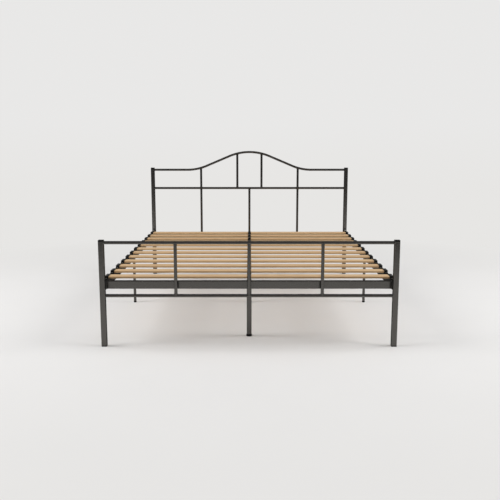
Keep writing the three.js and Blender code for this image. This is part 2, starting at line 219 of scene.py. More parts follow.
def rounded_rect(width, height, corner):
    """A rectangle with rounded corners and a point on each flat close to every corner."""
    corner = max(corner, RIM)
    points = []
    for quarter, (sign_u, sign_v) in enumerate([(1, 1), (-1, 1), (-1, -1), (1, -1)]):
        centre_u = sign_u * (width / 2 - corner)
        centre_v = sign_v * (height / 2 - corner)
        start = math.pi / 2 * quarter
        turns = [start + math.pi / 2 * i / CORNER_SEGMENTS for i in range(CORNER_SEGMENTS + 1)]
        places = [(angle, 0) for angle in turns]
        for angle, beside in [(turns[0], -CORNER_MARGIN), *places, (turns[-1], CORNER_MARGIN)]:
            points.append((
                centre_u + corner * math.cos(angle) - beside * math.sin(angle),
                centre_v + corner * math.sin(angle) + beside * math.cos(angle),
            ))
    return points


def box_outline(width, height, corner):
    """The outline of a rectangular section, as a function of how far it is inset."""
    return lambda inset: rounded_rect(width - 2 * inset, height - 2 * inset, corner - inset)


def round_outline(radius):
    return lambda inset: circle(radius - inset)


def polygon(sides):
    """A regular polygon or a coarse circle, as a function of its radius."""
    return lambda radius: circle(radius, sides)


# ---- Shells, added to a bmesh ----


def join_loops(mesh, first, second):
    """Joins two closed loops of vertices with faces."""
    for i in range(len(first)):
        j = (i + 1) % len(first)
        mesh.faces.new((first[i], first[j], second[j], second[i]))


def add_loft(mesh, rings, closed=False):
    """Joins rings of points with faces. A closed loft also joins the last ring to the first, and
    an open one gets a flat face at each end."""
    loops = [[mesh.verts.new(point) for point in points] for points in rings]
    pairs = list(zip(loops, loops[1:]))
    if closed:
        pairs.append((loops[-1], loops[0]))
    else:
        mesh.faces.new(loops[0])
        mesh.faces.new(loops[-1])
    for first, second in pairs:
        join_loops(mesh, first, second)


def ring(points, centre, axis):
    """Places the (u, v) points of an outline round a centre, across an axis."""
    _, across, up = AXES[axis]
    return [centre + u * across + v * up for u, v in points]


def add_profile(mesh, outline, profile, origin, axis, direction=1, closed=False):
    """A shell with one ring for each (inset, distance) of the profile, the distance being along
    the axis from the origin."""
    along = direction * AXES[axis][0]
    rings = [ring(outline(inset), origin + distance * along, axis) for inset, distance in profile]
    add_loft(mesh, rings, closed)


def add_tube(mesh, outline, wall, origin, length, axis):
    """A straight tube with slightly rounded ends."""
    profile = [
        (RIM, 0),
        (0, RIM),
        (0, RIM + END_MARGIN),
        (0, length - RIM - END_MARGIN),
        (0, length - RIM),
        (RIM, length),
        (wall - RIM, length),
        (wall, length - RIM),
        (wall, RIM),
        (wall - RIM, 0),
    ]
    add_profile(mesh, outline, profile, origin, axis, closed=True)


def centre_of(node):
    low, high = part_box(node)
    return (low + high) / 2


def size_of(node):
    low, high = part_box(node)
    return high - low


def start_of(node, axis):
    """The middle of a node's end face on the low side of an axis."""
    along = AXES[axis][0]
    low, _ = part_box(node)
    middle = centre_of(node)
    return middle + (low - middle).dot(along) * along


# ---- Turning a bmesh into a piece ----


def mark_edge_wear_and_highlight(data):
    """Stores how tightly the surface curves outwards at each vertex, from 0 on flats and wide
    tubes to 1 on narrow edges. The paint shows it as worn edges that are also a painted
    highlight, and the plastic shows it as rubbed edges."""
    mesh = bmesh.new()
    mesh.from_mesh(data)
    mesh.normal_update()
    edge_wear_and_highlight = []
    for vertex in mesh.verts:
        curvature = 0.0
        for edge in vertex.link_edges:
            if len(edge.link_faces) != 2:
                continue
            angle = edge.calc_face_angle_signed()
            if angle <= 0:
                continue
            widths = [face.calc_area() / edge.calc_length() for face in edge.link_faces]
            curvature = max(curvature, angle / max(min(widths), RIM))
        edge_wear_and_highlight.append(min(max((curvature - EDGE_WEAR_AND_HIGHLIGHT_START) / EDGE_WEAR_AND_HIGHLIGHT_RANGE, 0), 1))
    mesh.free()
    attribute = data.attributes.new("edge_wear_and_highlight", "FLOAT", "POINT")
    attribute.data.foreach_set("value", edge_wear_and_highlight)


def add_object(name, data):
    made = bpy.data.objects.new(name, data)
    bpy.context.scene.collection.objects.link(made)
    return made


def make_object(name, mesh):
    """A new object from a bmesh, which is freed."""
    data = bpy.data.meshes.new(name)
    mesh.to_mesh(data)
    mesh.free()
    return add_object(name, data)


def make_solid(name, mesh):
    """A new object from a bmesh of closed shells, whose faces are turned outwards."""
    bmesh.ops.recalc_face_normals(mesh, faces=mesh.faces)
    return make_object(name, mesh)


def apply_modifiers(piece):
    graph = bpy.context.evaluated_depsgraph_get()
    data = bpy.data.meshes.new_from_object(piece.evaluated_get(graph))
    piece.modifiers.clear()
    piece.data = data


def cut_away(piece, cutter):
    """Takes a bmesh of closed shells away from a piece."""
    tool = make_solid("cutter", cutter)
    modifier = piece.modifiers.new("cut", "BOOLEAN")
    modifier.operation = "DIFFERENCE"
    modifier.solver = "EXACT"
    modifier.object = tool
    apply_modifiers(piece)
    bpy.data.objects.remove(tool)


def round_edges(piece, width, segments=2):
    modifier = piece.modifiers.new("edges", "BEVEL")
    modifier.width = width
    modifier.segments = segments
    modifier.limit_method = "ANGLE"
    modifier.angle_limit = SHARP_ANGLE
    apply_modifiers(piece)


def finish_piece(piece, material, *nodes):
    """Shades a piece, gives it its material, and lets it ride on the frame in place of nodes."""
    piece.data.shade_smooth()
    piece.data.set_sharp_from_angle(angle=SHARP_ANGLE)
    mark_edge_wear_and_highlight(piece.data)
    piece.data.materials.clear()
    piece.data.materials.append(material)
    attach(piece, BODY)
    if nodes:
        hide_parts(*nodes)


def finish_node(node, mesh, material):
    finish_piece(make_solid(f"{node}_finished", mesh), material, node)


# ---- Materials ----


def new_material(slot):
    """A material that carries the name of its slot."""
    material = bpy.data.materials.new(slot)
    material["slot"] = slot
    material.use_nodes = True
    return material


def add_node(material, kind, values=None, **options):
    node = material.node_tree.nodes.new(kind)
    for option, value in options.items():
        setattr(node, option, value)
    for socket, value in (values or {}).items():
        node.inputs[socket].default_value = value
    return node


def connect(material, source, target):
    material.node_tree.links.new(source, target)


def place(material, scale=(1, 1, 1)):
    """Positions on the object in metres, stretched by scale."""
    coordinates = add_node(material, "ShaderNodeTexCoord")
    mapping = add_node(material, "ShaderNodeMapping", {"Scale": scale})
    connect(material, coordinates.outputs["Object"], mapping.inputs["Vector"])
    return mapping.outputs["Vector"]


def component(material, vector, axis):
    node = add_node(material, "ShaderNodeSeparateXYZ")
    connect(material, vector, node.inputs["Vector"])
    return node.outputs[axis]


def add_noise(material, position, scale, detail=3.0, roughness=0.5):
    values = {"Scale": scale, "Detail": detail, "Roughness": roughness}
    texture = add_node(material, "ShaderNodeTexNoise", values)
    connect(material, position, texture.inputs["Vector"])
    return texture.outputs["Fac"]


def remap(material, value, low, high, from_low=0.3, from_high=0.7):
    """Maps a value to low and high. The range that it comes from is most of a noise's."""
    values = {"From Min": from_low, "From Max": from_high, "To Min": low, "To Max": high}
    node = add_node(material, "ShaderNodeMapRange", values)
    connect(material, value, node.inputs["Value"])
    return node.outputs["Result"]


def combine(material, operation, first, second=0):
    node = add_node(material, "ShaderNodeMath", operation=operation)
    for source, socket in zip((first, second), node.inputs):
        if isinstance(source, (int, float)):
            socket.default_value = source
        else:
            connect(material, source, socket)
    return node.outputs["Value"]


def mix_colours(material, share, first, second):
    node = add_node(material, "ShaderNodeMix", data_type="RGBA")
    connect(material, share, node.inputs["Factor"])
    colour_sockets = [s for s in node.inputs if s.type == "RGBA"]
    for source, socket in zip((first, second), colour_sockets):
        if isinstance(source, tuple):
            socket.default_value = (*source, 1)
        else:
            connect(material, source, socket)
    return next(s for s in node.outputs if s.type == "RGBA")


def add_bump(material, height, strength, distance, normal=None):
    node = add_node(material, "ShaderNodeBump", {"Strength": strength, "Distance": distance})
    connect(material, height, node.inputs["Height"])
    if normal is not None:
        connect(material, normal, node.inputs["Normal"])
    return node.outputs["Normal"]


def read_edge_wear_and_highlight(material):
    return add_node(material, "ShaderNodeAttribute", attribute_name="edge_wear_and_highlight").outputs["Fac"]


def shader_of(material):
    return material.node_tree.nodes["Principled BSDF"]


def make_paint():
    """Graphite powder coat: a fine orange peel, with the coat thinner and smoother on edges, and the
    edges lighter as partly worn coat and partly a painted highlight.
    """
    material = new_material("graphite_paint")
    shader = shader_of(material)
    position = place(material)
    clouds = add_noise(material, position, scale=7.0, detail=4.0)
    grains = add_noise(material, position, scale=900.0, detail=2.0)
    patches = add_noise(material, position, scale=55.0, detail=3.0)
    base = mix_colours(material, remap(material, clouds, 0, 1), PAINT_DARK, PAINT_LIGHT)
    speckled = mix_colours(material, remap(material, grains, 0, 0.35), base, PAINT_FLAKE)
    # Edge mask: the coat is worn there, and its lighter colour is partly a painted highlight.
    scuffs_and_painted_highlight = combine(material, "MULTIPLY", read_edge_wear_and_highlight(material), remap(material, patches, 0, 0.55))
    colour = mix_colours(material, scuffs_and_painted_highlight, speckled, PAINT_EDGE_WEAR_AND_HIGHLIGHT)
    connect(material, colour, shader.inputs["Base Color"])
    dull = remap(material, patches, *PAINT_ROUGHNESS)
    gloss = combine(material, "MULTIPLY", scuffs_and_painted_highlight, PAINT_EDGE_GLOSS)
    connect(material, combine(material, "SUBTRACT", dull, gloss), shader.inputs["Roughness"])
    peel = add_noise(material, position, scale=380.0, detail=2.0)
    normal = add_bump(material, peel, strength=0.35, distance=0.0002)
    normal = add_bump(material, grains, strength=0.12, distance=0.0001, normal=normal)
    connect(material, normal, shader.inputs["Normal"])
    shader.inputs["Metallic"].default_value = PAINT_METALLIC
    shader.inputs["IOR"].default_value = 1.5
    shader.inputs["Specular Tint"].default_value = PAINT_GRAZING
    return material


def make_plastic():
    """Black moulded plastic with a fine spark-eroded grain and greyer, rubbed edges."""
    material = new_material("black_plastic")
    shader = shader_of(material)
    position = place(material)
    clouds = add_noise(material, position, scale=40.0)
    grain = add_noise(material, position, scale=1600.0, detail=3.0, roughness=0.6)
    base = mix_colours(material, remap(material, clouds, 0, 1), PLASTIC_DARK, PLASTIC_LIGHT)
    rub = combine(material, "MULTIPLY", read_edge_wear_and_highlight(material), remap(material, clouds, 0, 0.6))
    colour = mix_colours(material, rub, base, PLASTIC_RUBBED)
    connect(material, colour, shader.inputs["Base Color"])
    connect(material, remap(material, grain, 0.42, 0.60), shader.inputs["Roughness"])
    normal = add_bump(material, grain, strength=0.25, distance=0.00012)
    connect(material, normal, shader.inputs["Normal"])
    shader.inputs["IOR"].default_value = 1.46
    shader.inputs["Specular IOR Level"].default_value = 0.22
    return material


def make_zinc():
    """Bright zinc plate, slightly cloudy, with a faint yellow passivation in places."""
    material = new_material("zinc_plate")
    shader = shader_of(material)
    position = place(material)
    clouds = add_noise(material, position, scale=160.0, detail=4.0)
    fine = add_noise(material, position, scale=1400.0)
    colour = mix_colours(material, remap(material, clouds, 0, 1), ZINC_BRIGHT, ZINC_YELLOW)
    connect(material, colour, shader.inputs["Base Color"])
    connect(material, remap(material, clouds, 0.26, 0.42), shader.inputs["Roughness"])
    normal = add_bump(material, fine, strength=0.18, distance=0.0001)
    connect(material, normal, shader.inputs["Normal"])
    shader.inputs["Metallic"].default_value = 1.0
    return material


def make_wood():
    """Laminated birch: grain along X on the faces, and the plies showing on the edges."""
    material = new_material("birch_wood")
    shader = shader_of(material)
    long_position = place(material, (1.6, 34.0, 34.0))
    waves = add_noise(material, long_position, scale=1.0, detail=5.0, roughness=0.6)
    fibre_position = place(material, (9.0, 620.0, 620.0))
    fibres = add_noise(material, fibre_position, scale=1.0, detail=3.0, roughness=0.65)
    board_position = place(material, (0.15, 6.2, 0.3))
    boards = add_noise(material, board_position, scale=1.0, detail=0.0)
    base = mix_colours(material, remap(material, waves, 0, 1), WOOD_LIGHT, WOOD_DARK)
    base = mix_colours(material, remap(material, fibres, 0, 0.30), base, WOOD_FIBRE)
    base = mix_colours(material, remap(material, boards, 0, 0.35), base, WOOD_DEEP)
    figure_position = place(material, (0.7, 9.0, 9.0))
    figure = add_noise(material, figure_position, scale=1.0, detail=1.5)
    growth = combine(material, "SINE", combine(material, "MULTIPLY", figure, GROWTH_LINES))
    growth = remap(material, growth, 0, 0.62, from_low=0.0, from_high=1.0)
    growth = combine(material, "MULTIPLY", growth, remap(material, waves, 0.5, 1.0))
    base = mix_colours(material, growth, base, WOOD_FIBRE)
    height = component(material, place(material), "Z")
    slat_low, slat_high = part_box("slat_01")
    ply = (slat_high.z - slat_low.z) / PLY_COUNT
    phase = combine(material, "SUBTRACT", height, slat_low.z)
    phase = combine(material, "MULTIPLY", phase, math.pi / ply)
    stripe = combine(material, "SINE", phase)
    stripe = remap(material, stripe, 0, 0.75, from_low=-0.25, from_high=0.25)
    geometry = add_node(material, "ShaderNodeNewGeometry")
    upright = combine(material, "ABSOLUTE", component(material, geometry.outputs["Normal"], "Z"))
    side = remap(material, upright, 1, 0, from_low=0.75, from_high=0.95)
    plies = combine(material, "MULTIPLY", stripe, side)
    colour = mix_colours(material, plies, base, PLY_DARK)
    connect(material, colour, shader.inputs["Base Color"])
    connect(material, remap(material, fibres, 0.46, 0.62), shader.inputs["Roughness"])
    normal = add_bump(material, fibres, strength=0.20, distance=0.0002)
    normal = add_bump(material, waves, strength=0.08, distance=0.0006, normal=normal)
    connect(material, normal, shader.inputs["Normal"])
    shader.inputs["IOR"].default_value = 1.45
    return material


paint = make_paint()
plastic = make_plastic()
zinc = make_zinc()
wood = make_wood()


# ---- Posts with their caps and feet ----


def make_post(node, inward, bolts):
    """A post with holes for its bolts in the wall that faces the middle of the bed."""
    size = size_of(node)
    outline = box_outline(size.x, size.y, POST_CORNER)
    mesh = bmesh.new()
    add_tube(mesh, outline, POST_WALL, start_of(node, "z"), size.z, "z")
    piece = make_solid(f"{node}_finished", mesh)
    drills = bmesh.new()
    middle = centre_of(node)
    for bolt in bolts:
        origin = Vector((middle.x, middle.y, centre_of(bolt).z))
        profile = [(BOLT_RADIUS + GAP, 0), (BOLT_RADIUS + GAP, size.y)]
        add_profile(drills, polygon(HOLE_SIDES), profile, origin, "y", inward)
    cut_away(piece, drills)
    finish_piece(piece, paint, node)


def quarter_round(radius, steps=5):
    """(inset, drop) pairs from the side of a rounded edge to its top."""
    angles = [math.pi / 2 * i / steps for i in range(steps + 1)]
    return [(radius * (1 - math.cos(a)), radius * (1 - math.sin(a))) for a in angles]


def make_plug(node, direction, dome, edge):
    """A plug in the end of a post: a plate with a rounded outer edge, and a peg in the tube."""
    low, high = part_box(node)
    width = high.x - low.x
    peg_inset = POST_WALL + GAP
    outline = box_outline(width, width, POST_CORNER)
    thickness = PLUG_PLATE[direction]
    height = high.z - low.z
    inner = height - thickness
    profile = [(peg_inset + RIM, 0), (peg_inset, RIM), (peg_inset, inner), (RIM, inner)]
    profile += [(0, inner + RIM), (0, inner + RIM + CORNER_MARGIN)]
    top = height - dome
    profile.append((0, top - edge - CORNER_MARGIN))
    profile += [(inset, top - drop) for inset, drop in quarter_round(edge)]
    half = width / 2
    for step in range(1, DOME_STEPS + 1):
        share = step / DOME_STEPS
        inset = edge + share * (half - edge - DOME_FLAT)
        profile.append((inset, top + dome * math.sin(math.pi / 2 * share)))
    start = Vector(((low.x + high.x) / 2, (low.y + high.y) / 2, low.z if direction > 0 else high.z))
    mesh = bmesh.new()
    add_profile(mesh, outline, profile, start, "z", direction)
    finish_node(node, mesh, plastic)


for board, inward in BOARDS.items():
    for side in SIDES:
        bolt_end = board[:4]
        bolts = [f"bolt_{bolt_end}_{side}_{level}" for level in LEVELS]
        make_post(f"{board}_post_{side}", inward, bolts)
        make_plug(f"{board}_post_cap_{side}", 1, CAP_DOME, CAP_EDGE)
        make_plug(f"{board}_post_foot_{side}", -1, 0.0, CAP_EDGE / 2)


# ---- Rails and spindles of the end boards ----

tube_radius = size_of("footboard_top_rail").z / 2
rail_start, rail_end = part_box("headboard_arched_rail")
arch_base = rail_start.z + tube_radius
arch_rise = rail_end.z - rail_start.z - 2 * tube_radius
crown_half = ARCH_CROWN_RADIUS * math.sin(ARCH_SLOPE)
crown_drop = ARCH_CROWN_RADIUS * (1 - math.cos(ARCH_SLOPE))
bend_half = ARCH_FOOT_RADIUS * math.sin(ARCH_SLOPE)
bend_rise = ARCH_FOOT_RADIUS * (1 - math.cos(ARCH_SLOPE))
slope_run = (arch_rise - crown_drop - bend_rise) / math.tan(ARCH_SLOPE)
arch_half = crown_half + slope_run + bend_half


def arch(x):
    """Height and slope of the arched rail's centre line at x."""
    distance = abs(x)
    outward = math.copysign(1, x)
    if distance < crown_half:
        fall = math.sqrt(ARCH_CROWN_RADIUS**2 - distance**2)
        height = arch_rise - ARCH_CROWN_RADIUS + fall
        return arch_base + height, -outward * distance / fall
    if distance < crown_half + slope_run:
        height = arch_rise - crown_drop - (distance - crown_half) * math.tan(ARCH_SLOPE)
        return arch_base + height, -outward * math.tan(ARCH_SLOPE)
    if distance < arch_half:
        left = arch_half - distance
        rise = math.sqrt(ARCH_FOOT_RADIUS**2 - left**2)
        return arch_base + ARCH_FOOT_RADIUS - rise, -outward * left / rise
    return arch_base, 0.0


def make_straight_rail(node):
    mesh = bmesh.new()
    add_tube(mesh, round_outline(tube_radius), TUBE_WALL, start_of(node, "x"), size_of(node).x, "x")
    finish_node(node, mesh, paint)


def make_arched_rail(node):
    low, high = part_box(node)
    y = centre_of(node).y
    steps = [low.x + (high.x - low.x) * i / ARCH_STEPS for i in range(1, ARCH_STEPS)]
    places = [(low.x, RIM), (low.x + RIM, 0)]
    places += [(x, 0) for x in steps]
    places += [(high.x - RIM, 0), (high.x, RIM)]
    outer = []
    inner = []
    for x, rim in places:
        height, slope = arch(x)
        up = Vector((-slope, 0, 1)).normalized()
        for rings, radius in ((outer, tube_radius - rim), (inner, tube_radius - TUBE_WALL + rim)):
            rings.append([Vector((x, y + u, height)) + (v * up) for u, v in circle(radius)])
    mesh = bmesh.new()
    add_loft(mesh, outer + inner[::-1], closed=True)
    finish_node(node, mesh, paint)


def straight_line(node):
    height = centre_of(node).z
    return lambda x: (height, 0.0)


def saddle(line, side, offset):
    """The height at which a spindle meets a rail that follows a line, as a function of the place
    (x, distance from the rail's plane). Side is -1 below the rail and 1 above it."""
    def height(x, across):
        centre, slope = line(x)
        reach = math.sqrt(max((tube_radius + offset) ** 2 - across**2, 0))
        return centre + side * reach * math.hypot(1, slope)
    return height


def make_spindle(node, lower_line, upper_line):
    middle = centre_of(node)
    bottom = saddle(lower_line, 1, GAP)
    top = saddle(upper_line, -1, GAP)

    def cut(radius, height, rise=0):
        places = [(middle.x + u, v) for u, v in circle(radius)]
        return [Vector((x, middle.y + v, height(x, v) + rise)) for x, v in places]

    inner = tube_radius - TUBE_WALL
    rings = [
        cut(tube_radius - RIM, bottom),
        cut(tube_radius, bottom, RIM),
        cut(tube_radius, bottom, RIM + END_MARGIN),
        cut(tube_radius, top, -RIM - END_MARGIN),
        cut(tube_radius, top, -RIM),
        cut(tube_radius - RIM, top),
        cut(inner + RIM, top),
        cut(inner, top, -RIM),
        cut(inner, bottom, RIM),
        cut(inner + RIM, bottom),
    ]
    mesh = bmesh.new()
    add_loft(mesh, rings, closed=True)
    finish_node(node, mesh, paint)


foot_top = straight_line("footboard_top_rail")
foot_low = straight_line("footboard_lower_rail")
head_middle = straight_line("headboard_middle_rail")
head_low = straight_line("headboard_lower_rail")

SPINDLES = {}
for number in range(1, 4):
    SPINDLES[f"footboard_spindle_{number}"] = (foot_low, foot_top)
    SPINDLES[f"headboard_lower_spindle_{number}"] = (head_low, head_middle)
for number in range(1, 5):
    SPINDLES[f"headboard_upper_spindle_{number}"] = (head_middle, arch)

STRAIGHT_RAILS = (
    "footboard_top_rail",
    "footboard_lower_rail",
    "headboard_middle_rail",
    "headboard_lower_rail",
)

for node in STRAIGHT_RAILS:
    make_straight_rail(node)
make_arched_rail("headboard_arched_rail")
for node, lines in SPINDLES.items():
    make_spindle(node, *lines)


# ---- Base frame ----

rail_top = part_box("end_rail_foot")[1].z
rail_width = size_of("end_rail_foot").y
rail_height = size_of("end_rail_foot").z
rail_z = centre_of("end_rail_foot").z
rail_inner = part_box("end_rail_foot")[1].x + GAP  # inner face of a side rail


def make_side_rail(side):
    """A tube with a drilled flange plate on each end."""
    node = f"side_rail_{side}"
    low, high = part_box(node)
    x = SIDES[side] * (rail_inner + rail_width / 2)
    post_x = centre_of(f"footboard_post_{side}").x
    plate_y = high.y - FLANGE_THICKNESS
    mesh = bmesh.new()
    section = box_outline(rail_height, rail_width, RAIL_CORNER)
    add_tube(mesh, section, RAIL_WALL, Vector((x, -plate_y, rail_z)), 2 * plate_y, "y")
    tube = make_solid(f"{node}_tube", mesh)
    plates = bmesh.new()
    drills = bmesh.new()
    outline = box_outline(high.z - low.z, FLANGE_WIDTH, RAIL_CORNER)
    for end, sign in ENDS.items():
        face = Vector((post_x, sign * plate_y, rail_z))
        add_profile(plates, outline, [(0, 0), (0, FLANGE_THICKNESS)], face, "y", sign)
        through = [-FLANGE_THICKNESS, 2 * FLANGE_THICKNESS]
        window = Vector((x, face.y, rail_z))
        add_profile(drills, circle, [(FLANGE_WINDOW_RADIUS, d) for d in through], window, "y", sign)
        for level in LEVELS:
            hole = Vector((post_x, face.y, centre_of(f"bolt_{end}_{side}_{level}").z))
            radius = BOLT_RADIUS + GAP
            add_profile(drills, circle, [(radius, d) for d in through], hole, "y", sign)
    piece = make_solid(f"{node}_finished", plates)
    cut_away(piece, drills)
    round_edges(piece, PLATE_EDGE)
    joined = bmesh.new()
    joined.from_mesh(piece.data)
    joined.from_mesh(tube.data)
    joined.to_mesh(piece.data)
    joined.free()
    bpy.data.objects.remove(tube)
    finish_piece(piece, paint, node)


def make_box_rail(node, axis):
    mesh = bmesh.new()
    if axis == "x":
        section = box_outline(rail_width, rail_height, RAIL_CORNER)
        length = size_of(node).x
    else:
        section = box_outline(rail_height, rail_width, RAIL_CORNER)
        length = size_of(node).y
    add_tube(mesh, section, RAIL_WALL, start_of(node, axis), length, axis)
    finish_node(node, mesh, paint)


for side in SIDES:
    make_side_rail(side)
make_box_rail("end_rail_foot", "x")
make_box_rail("end_rail_head", "x")
make_box_rail("centre_beam", "y")


# ---- Bolts ----


def make_bolt(node, end):
    """A round-headed bolt with a hexagon socket. Its shank points away from the bed's middle."""
    low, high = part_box(node)
    middle = (low + high) / 2
    head_radius = (high.x - low.x) / 2
    length = high.y - low.y
    head_height = length - BOLT_LENGTH
    crown = head_height * BOLT_CROWN_SHARE
    tip = Vector((middle.x, high.y if end > 0 else low.y, middle.z))
    profile = [
        (BOLT_RADIUS - BOLT_TIP_CHAMFER, 0),
        (BOLT_RADIUS, BOLT_TIP_CHAMFER),
        (BOLT_RADIUS, BOLT_LENGTH),
        (head_radius - RIM, BOLT_LENGTH),
        (head_radius, BOLT_LENGTH + RIM),
        (head_radius, length - crown),
    ]
    flat = BOLT_FLAT_SHARE * head_radius
    for i in range(1, BOLT_CROWN_STEPS + 1):
        angle = math.pi / 2 * i / BOLT_CROWN_STEPS
        radius = flat + (head_radius - flat) * math.cos(angle)
        profile.append((radius, length - crown + crown * math.sin(angle)))
    mesh = bmesh.new()
    add_profile(mesh, circle, profile, tip, "y", -end)
    piece = make_solid(f"{node}_finished", mesh)
    socket = bmesh.new()
    depths = [length - BOLT_SOCKET_DEPTH, length + BOLT_SOCKET_DEPTH]
    profile = [(BOLT_SOCKET_RADIUS, depth) for depth in depths]
    add_profile(socket, polygon(HEXAGON_SIDES), profile, tip, "y", -end)
    cut_away(piece, socket)
    finish_piece(piece, zinc, node)


for end_name, end in ENDS.items():
    for side in SIDES:
        for level in LEVELS:
            make_bolt(f"bolt_{end_name}_{side}_{level}", end)


# ---- Legs ----


def make_side_leg(side):
    """A leg tube that stands in a plastic sleeve. The sleeve is on the floor."""
    node = f"side_leg_{side}"
    size = size_of(node)
    radius = size.x / 2
    start = start_of(node, "z")
    tube_start = start + Vector((0, 0, SLEEVE_FLOOR))
    mesh = bmesh.new()
    add_tube(mesh, round_outline(radius), TUBE_WALL, tube_start, size.z - SLEEVE_FLOOR, "z")
    finish_node(node, mesh, paint)
    make_sleeve(f"side_leg_sleeve_{side}", start, radius)


def make_cup(name, start, outside, bore, floor, *nodes):
    """A plastic cup round the lower end of a leg, from the (radius, height) pairs of its outside,
    which go up from the floor to the mouth."""
    height = outside[-1][1]
    profile = [
        (CUP_AXIS, CUP_HOLLOW),
        (CUP_HOLLOW_FLAT * outside[0][0], CUP_HOLLOW),
        (CUP_HOLLOW_RIM * outside[0][0], 0),
    ]
    profile += outside
    profile += [
        (bore + RIM, height),
        (bore, height - RIM),
        (bore, floor),
        (CUP_AXIS, floor),
    ]
    mesh = bmesh.new()
    add_profile(mesh, circle, profile, start, "z")
    finish_piece(make_solid(name, mesh), plastic, *nodes)


def make_sleeve(name, start, leg_radius):
    """A thin straight cup with rounded edges."""
    outer = leg_radius + SLEEVE_WALL
    outside = [(outer - inset, drop) for inset, drop in quarter_round(SLEEVE_WALL)[::-1]]
    outside += [(outer - inset, SLEEVE_HEIGHT - drop) for inset, drop in quarter_round(CUP_LIP)]
    make_cup(name, start, outside, leg_radius + GAP, SLEEVE_FLOOR)


def make_flared_cup(node, leg_radius, floor):
    """A cup that is widest a little above the floor and narrows in a curve to its mouth."""
    size = size_of(node)
    base = size.x / 2
    mouth = leg_radius + CUP_MOUTH_WALL
    outside = [(base - inset, drop) for inset, drop in quarter_round(CUP_EDGE)[::-1]]
    rise = size.z - CUP_LIP - CUP_BASE
    for i in range(CUP_STEPS + 1):
        share = i / CUP_STEPS
        narrowing = (1 - math.cos(math.pi * share)) / 2
        outside.append((base - (base - mouth) * narrowing, CUP_BASE + rise * share))
    outside += [(mouth - inset, size.z - drop) for inset, drop in quarter_round(CUP_LIP)[1:]]
    make_cup(f"{node}_finished", start_of(node, "z"), outside, leg_radius + GAP, floor, node)


def make_centre_leg(place_name):
    node = f"centre_leg_{place_name}"
    cup = f"centre_leg_ferrule_{place_name}"
    radius = size_of(node).x / 2
    mesh = bmesh.new()
    start = start_of(node, "z")
    add_tube(mesh, round_outline(radius), CENTRE_LEG_WALL, start, size_of(node).z, "z")
    finish_node(node, mesh, paint)
    make_flared_cup(cup, radius, start.z - GAP)


for side in SIDES:
    make_side_leg(side)
for place_name in CENTRE_LEGS:
    make_centre_leg(place_name)


# ---- Slats and their clips ----

slats = sorted(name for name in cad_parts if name.startswith("slat_"))


def make_slat(node):
    size = size_of(node)
    outline = box_outline(size.y, size.z, SLAT_CORNER)
    rounding = quarter_round(SLAT_END_EDGE, SLAT_END_STEPS)
    profile = rounding[::-1]
    profile += [(inset, size.x - drop) for inset, drop in rounding]
    mesh = bmesh.new()
    add_profile(mesh, outline, profile, start_of(node, "x"), "x")
    finish_node(node, mesh, wood)


def add_clip(mesh, slat, start, slat_end, finish):
    """A bridge over a slat with an ear on each side, between start and finish along X. Beyond
    slat_end the bridge is solid and stops the slat; without a slat_end it is open."""
    low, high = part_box(slat)
    inner = (high.y - low.y) / 2 + GAP
    outer = inner + CLIP_WALL
    ear = outer + CLIP_EAR_WIDTH
    bridge = high.z + GAP
    top = bridge + CLIP_WALL
    middle = (low.y + high.y) / 2
    ear_top = rail_top + CLIP_EAR_THICKNESS
    outside = [
        (ear, rail_top),
        (ear, ear_top),
        (outer, ear_top),
        (outer, top - CLIP_CHAMFER),
        (outer - CLIP_CHAMFER, top),
        (-outer + CLIP_CHAMFER, top),
        (-outer, top - CLIP_CHAMFER),
        (-outer, ear_top),
        (-ear, ear_top),
        (-ear, rail_top),
    ]
    inside = [(-inner, rail_top), (-inner, bridge), (inner, bridge), (inner, rail_top)]

    def points(places, x):
        return [mesh.verts.new((x, middle + y, z)) for y, z in places]

    def strip(first, second):
        for i in range(len(first) - 1):
            mesh.faces.new((first[i], first[i + 1], second[i + 1], second[i]))

    bridge_end = finish if slat_end is None else slat_end
    first = points(outside, start) + points(inside, start)
    second = points(outside, bridge_end) + points(inside, bridge_end)
    strip(first + first[:1], second + second[:1])
    mesh.faces.new(first)
    if slat_end is None:
        mesh.faces.new(second)
        return
    count = len(outside)
    third = points(outside, finish)
    strip(second[:count], third)
    third_foot = [third[-1], third[0]]
    mesh.faces.new(second[count:])
    mesh.faces.new((second[count - 1], second[count], second[-1], second[0], *third_foot[::-1]))
    mesh.faces.new(third)


def add_rivet(mesh, x, y, z):
    profile = [(RIVET_RADIUS, 0)]
    for i in range(1, RIVET_STEPS):
        angle = math.pi / 2 * i / RIVET_STEPS
        profile.append((RIVET_RADIUS * math.cos(angle), RIVET_HEIGHT * math.sin(angle)))
    add_profile(mesh, polygon(RIVET_SIDES), profile, Vector((x, y, z)), "z")


def add_rivets(mesh, slat, x):
    low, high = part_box(slat)
    reach = (high.y - low.y) / 2 + GAP + CLIP_WALL + CLIP_EAR_WIDTH / 2
    for sign in (-1, 1):
        y = (low.y + high.y) / 2 + sign * reach
        add_rivet(mesh, x, y, rail_top + CLIP_EAR_THICKNESS)


def finish_clips(place_name, mesh):
    piece = make_solid(f"slat_clips_{place_name}", mesh)
    round_edges(piece, CLIP_EDGE)
    finish_piece(piece, plastic)


def make_clips():
    rail_outer = rail_inner + rail_width
    slat_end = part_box(slats[0])[1].x
    rivets = bmesh.new()
    for side, sign in SIDES.items():
        mesh = bmesh.new()
        for slat in slats:
            add_clip(mesh, slat, sign * (rail_inner + CLIP_RAIL_MARGIN), sign * (slat_end + GAP),
                     sign * (rail_outer - CLIP_RAIL_MARGIN))
            add_rivets(rivets, slat, sign * (rail_inner + rail_outer) / 2)
        finish_clips(side, mesh)
    mesh = bmesh.new()
    half = rail_width / 2 - CLIP_RAIL_MARGIN
    for slat in slats:
        add_clip(mesh, slat, -half, None, half)
        add_rivets(rivets, slat, 0.0)
    finish_clips("centre", mesh)
    finish_piece(make_solid("slat_clip_rivets", rivets), zinc)


for node in slats:
    make_slat(node)
make_clips()


# ---- Weld beads ----


